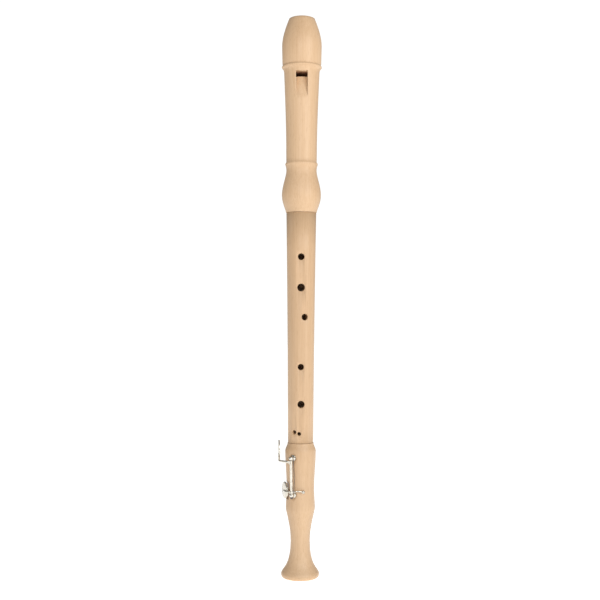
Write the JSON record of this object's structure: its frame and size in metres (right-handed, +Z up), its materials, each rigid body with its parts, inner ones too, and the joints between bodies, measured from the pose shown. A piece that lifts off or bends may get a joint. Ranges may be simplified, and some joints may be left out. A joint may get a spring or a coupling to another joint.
{
  "type": "recorder",
  "caption": "Upright wooden duct flute with a beaked head, plugged windway, tapered finger-hole body and flared foot with a sprung, padded side key.",
  "frame": {"origin": "centre of the foot joint's bottom face, on the axis of the bore", "axes": "+Z up the bore towards the beak, -Y out through the window and finger holes, +X to the right of someone who looks at the window"},
  "size_m": [0.0501, 0.0466, 0.65],
  "materials": {
    "maple": "satin, lightly oiled pale wood with fine upright grain",
    "cedar": "raw, straight-grained reddish wood",
    "cork": "fine greased cork",
    "nickel_silver": "polished warm white metal",
    "spring_steel": "blued steel",
    "pad_leather": "thin soft leather over felt"
  },
  "bodies": {
    "foot": {"foot_joint": "maple", "upper_post": "nickel_silver", "lower_post": "nickel_silver", "hinge_screw": "spring_steel", "needle_spring": "spring_steel"},
    "middle": {"middle_joint": "maple", "upper_tenon_cork": "cork", "lower_tenon_cork": "cork"},
    "head": {"head_joint": "maple", "block": "cedar"},
    "key": {"key_tube": "nickel_silver", "touch_lever": "nickel_silver", "pad_arm": "nickel_silver", "pad_cup": "nickel_silver", "key_pad": "pad_leather", "stop_tail": "nickel_silver", "tail_bumper": "cork"}
  },
  "joints": [
    {"name": "foot_swivel", "type": "hinge", "parent": "foot", "child": "middle", "pos_m": [0, 0, 0.1563], "axis": [0, 0, 1], "continuous": true},
    {"name": "head_slide", "type": "slide", "parent": "middle", "child": "head", "axis": [0, 0, 1], "range_m": [0, 0.03]},
    {"name": "key_close", "type": "hinge", "parent": "foot", "child": "key", "pos_m": [-0.01016, -0.0176, 0.0978], "axis": [0.018, 0.0312, -0.9994], "range_deg": [0, 6.4], "stiffness_Nm_per_rad": 0.02, "springref_deg": -17.19}
  ]
}
